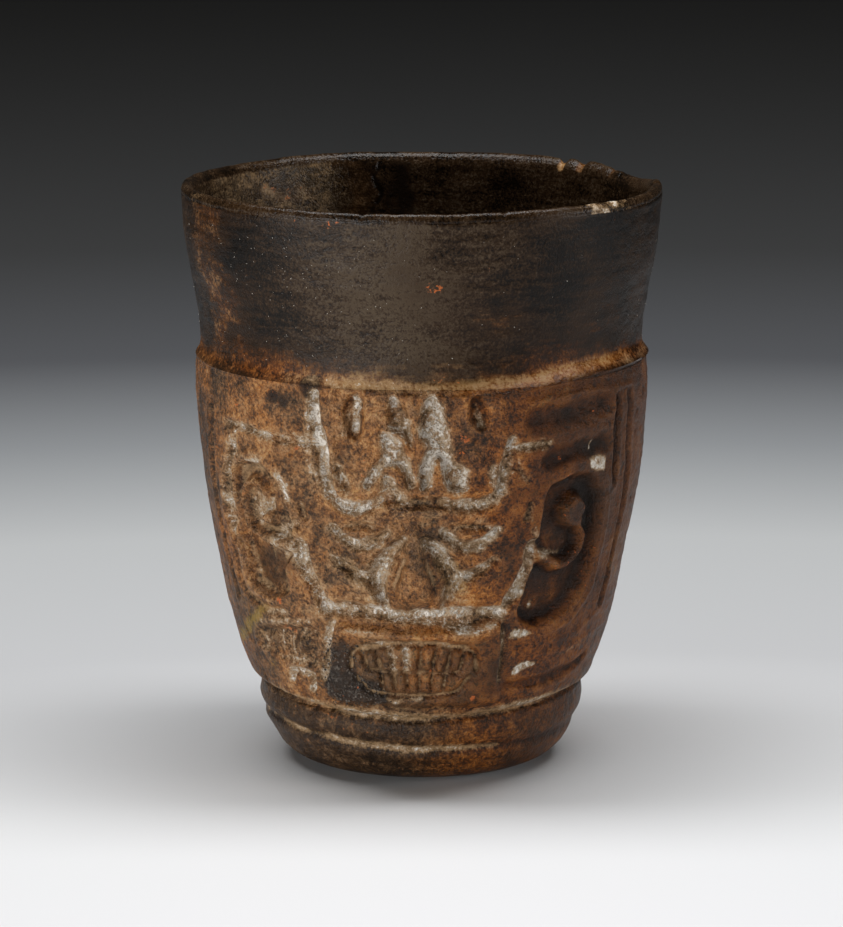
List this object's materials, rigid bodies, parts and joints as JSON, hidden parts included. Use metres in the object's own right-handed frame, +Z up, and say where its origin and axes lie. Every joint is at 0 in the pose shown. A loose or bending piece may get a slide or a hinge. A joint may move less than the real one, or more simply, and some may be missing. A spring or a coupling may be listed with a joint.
{
  "type": "moulded blackware cup",
  "caption": "Tall burnished blackware drinking cup: flaring plain collar, relief wall with a stylised mask between scroll ears, rolled band and rounded foot.",
  "frame": {"origin": "centre of the flat foot, on the surface that the cup stands on", "axes": "+Z up along the axis of the cup, -Y towards the front mask, +X to the right of someone who faces it"},
  "size_m": [0.1104, 0.1104, 0.134],
  "materials": {
    "base_clay": "reduction-fired earthenware, lightly burnished and worn, grey-brown with a warm orange-brown side",
    "relief_clay": "pressed relief, worn brown on its high forms, with dark ground and pale lime deposit in the deep cuts",
    "burnished_clay": "brown-black burnished earthenware with a soft sheen and fine pale grains of temper"
  },
  "bodies": {
    "root": {"base_bowl": "base_clay", "front_relief_wall": "relief_clay", "back_relief_wall": "relief_clay", "collar": "burnished_clay"}
  },
  "joints": []
}
